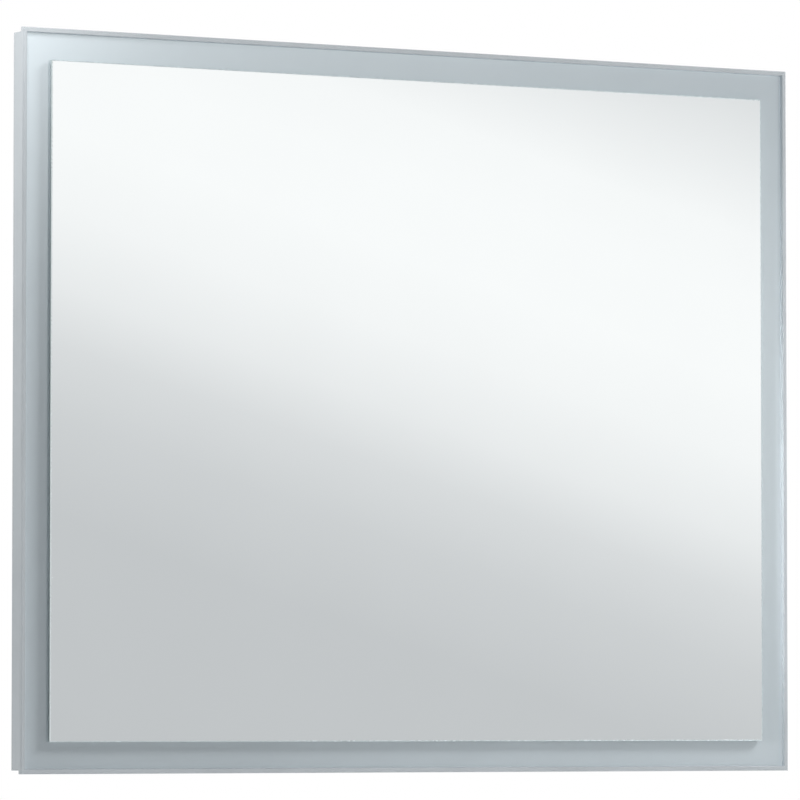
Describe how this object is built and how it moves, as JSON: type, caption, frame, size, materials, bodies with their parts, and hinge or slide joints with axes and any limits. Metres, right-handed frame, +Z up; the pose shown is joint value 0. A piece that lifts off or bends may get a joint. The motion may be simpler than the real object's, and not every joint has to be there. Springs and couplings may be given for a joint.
{
  "type": "lighted wall mirror",
  "caption": "Rectangular wall mirror with a recessed satin light border in a slim aluminium frame, hung on two wall brackets.",
  "frame": {"origin": "on the wall, midway between the four screw holes of the two wall brackets", "axes": "+X to the right as the user faces the glass, +Y into the wall, +Z up"},
  "size_m": [0.9, 0.03, 0.75],
  "materials": {
    "silvered_glass": "silvered float glass with polished arris",
    "film_grey": "matt safety film",
    "foam_tape": "closed-cell foam",
    "satin_acrylic": "satin translucent acrylic",
    "white_enamel": "white powder coat",
    "zinc_plate": "zinc plated sheet",
    "screw_steel": "zinc plated",
    "black_rubber": "matt",
    "driver_shell": "fine texture",
    "green_board": "solder mask",
    "ferrite": "matt ferrite with taped coil",
    "capacitor_sleeve": "shrink sleeve",
    "terminal_plastic": "moulded",
    "brass": "plain",
    "tinned_copper": "tinned",
    "lead_brown": "insulation",
    "lead_blue": "insulation",
    "lead_green_yellow": "two-colour insulation",
    "lead_white": "insulation",
    "clip_nylon": "natural nylon",
    "cast_zinc": "die cast, as cast",
    "frame_aluminium": "satin anodised",
    "white_board": "white solder mask",
    "chip_phosphor": "encapsulated phosphor",
    "bracket_steel": "zinc plated"
  },
  "bodies": {
    "root": {"back_panel": "zinc_plate", "cable_grommet": "black_rubber", "chassis": "white_enamel", "chassis_screws": "screw_steel", "corner_key_bottom_left": "cast_zinc", "corner_key_bottom_right": "cast_zinc", "corner_key_screws": "screw_steel", "corner_key_top_left": "cast_zinc", "corner_key_top_right": "cast_zinc", "diffuser_ring": "satin_acrylic", "driver_base": "driver_shell", "driver_board": "green_board", "driver_capacitors": "capacitor_sleeve", "driver_cover": "driver_shell", "driver_mains_terminal": "terminal_plastic", "driver_output_terminal": "terminal_plastic", "driver_screws": "screw_steel", "driver_transformer": "ferrite", "earth_nut": "brass", "earth_ring": "tinned_copper", "earth_stud": "brass", "feed_grommet": "black_rubber", "frame_bottom": "frame_aluminium", "frame_left": "frame_aluminium", "frame_right": "frame_aluminium", "frame_top": "frame_aluminium", "hanger_left": "bracket_steel", "hanger_right": "bracket_steel", "hanger_rivets": "screw_steel", "lead_clips": "clip_nylon", "lead_earth": "lead_green_yellow", "lead_live": "lead_brown", "lead_neutral": "lead_blue", "lead_strip_feed": "lead_white", "mirror_film": "film_grey", "mirror_pane": "silvered_glass", "mirror_tape": "foam_tape", "panel_screws": "screw_steel", "strip_board_bottom": "white_board", "strip_board_left": "white_board", "strip_board_right": "white_board", "strip_board_top": "white_board", "strip_chips_bottom": "chip_phosphor", "strip_chips_left": "chip_phosphor", "strip_chips_right": "chip_phosphor", "strip_chips_top": "chip_phosphor", "strip_link_bottom_right": "lead_white", "strip_link_top_left": "lead_white", "strip_link_top_right": "lead_white", "terminal_block": "terminal_plastic", "terminal_screws": "brass", "wall_bracket_left": "bracket_steel", "wall_bracket_right": "bracket_steel", "wall_pads": "black_rubber"}
  },
  "joints": []
}
